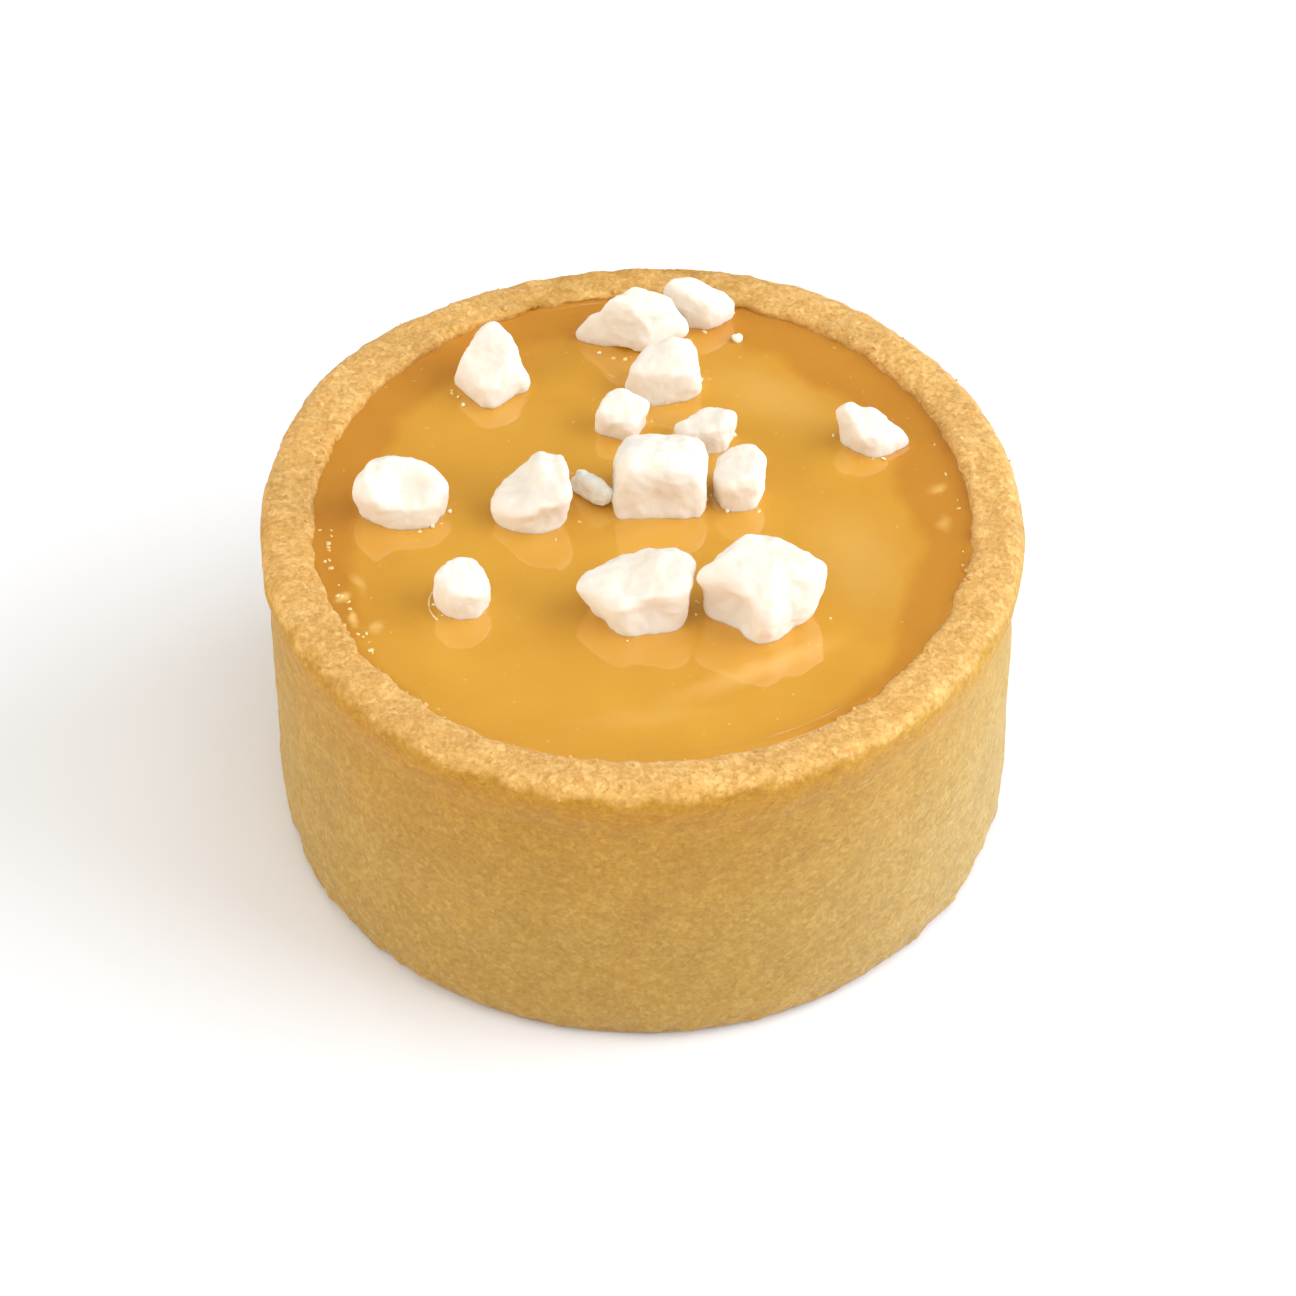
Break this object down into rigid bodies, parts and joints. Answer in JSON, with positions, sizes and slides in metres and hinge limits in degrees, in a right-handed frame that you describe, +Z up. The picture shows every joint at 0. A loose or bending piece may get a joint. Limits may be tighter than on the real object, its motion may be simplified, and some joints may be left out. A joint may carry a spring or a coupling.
{
  "type": "glazed curd tartlet with meringue pieces",
  "caption": "Small straight-sided shortcrust tartlet filled with glossy glazed curd and topped with broken white meringue.",
  "frame": {"origin": "centre of the underside's outline, on the surface that the tartlet stands on", "axes": "+Z up out of the filling, -Y towards the viewer, +X to the viewer's right"},
  "size_m": [0.052, 0.0516, 0.0303],
  "materials": {
    "shortcrust": "dry, fine sandy baked shortcrust",
    "glazed_curd": "wet, glossy, slightly see-through gel glaze over curd",
    "meringue": "dry, powdery broken meringue"
  },
  "bodies": {
    "root": {"pastry_case": "shortcrust", "curd_filling": "glazed_curd", "meringue_01": "meringue", "meringue_02": "meringue", "meringue_03": "meringue", "meringue_04": "meringue", "meringue_05": "meringue", "meringue_06": "meringue", "meringue_07": "meringue", "meringue_08": "meringue", "meringue_09": "meringue", "meringue_10": "meringue", "meringue_11": "meringue", "meringue_12": "meringue", "meringue_13": "meringue", "meringue_14": "meringue"}
  },
  "joints": []
}
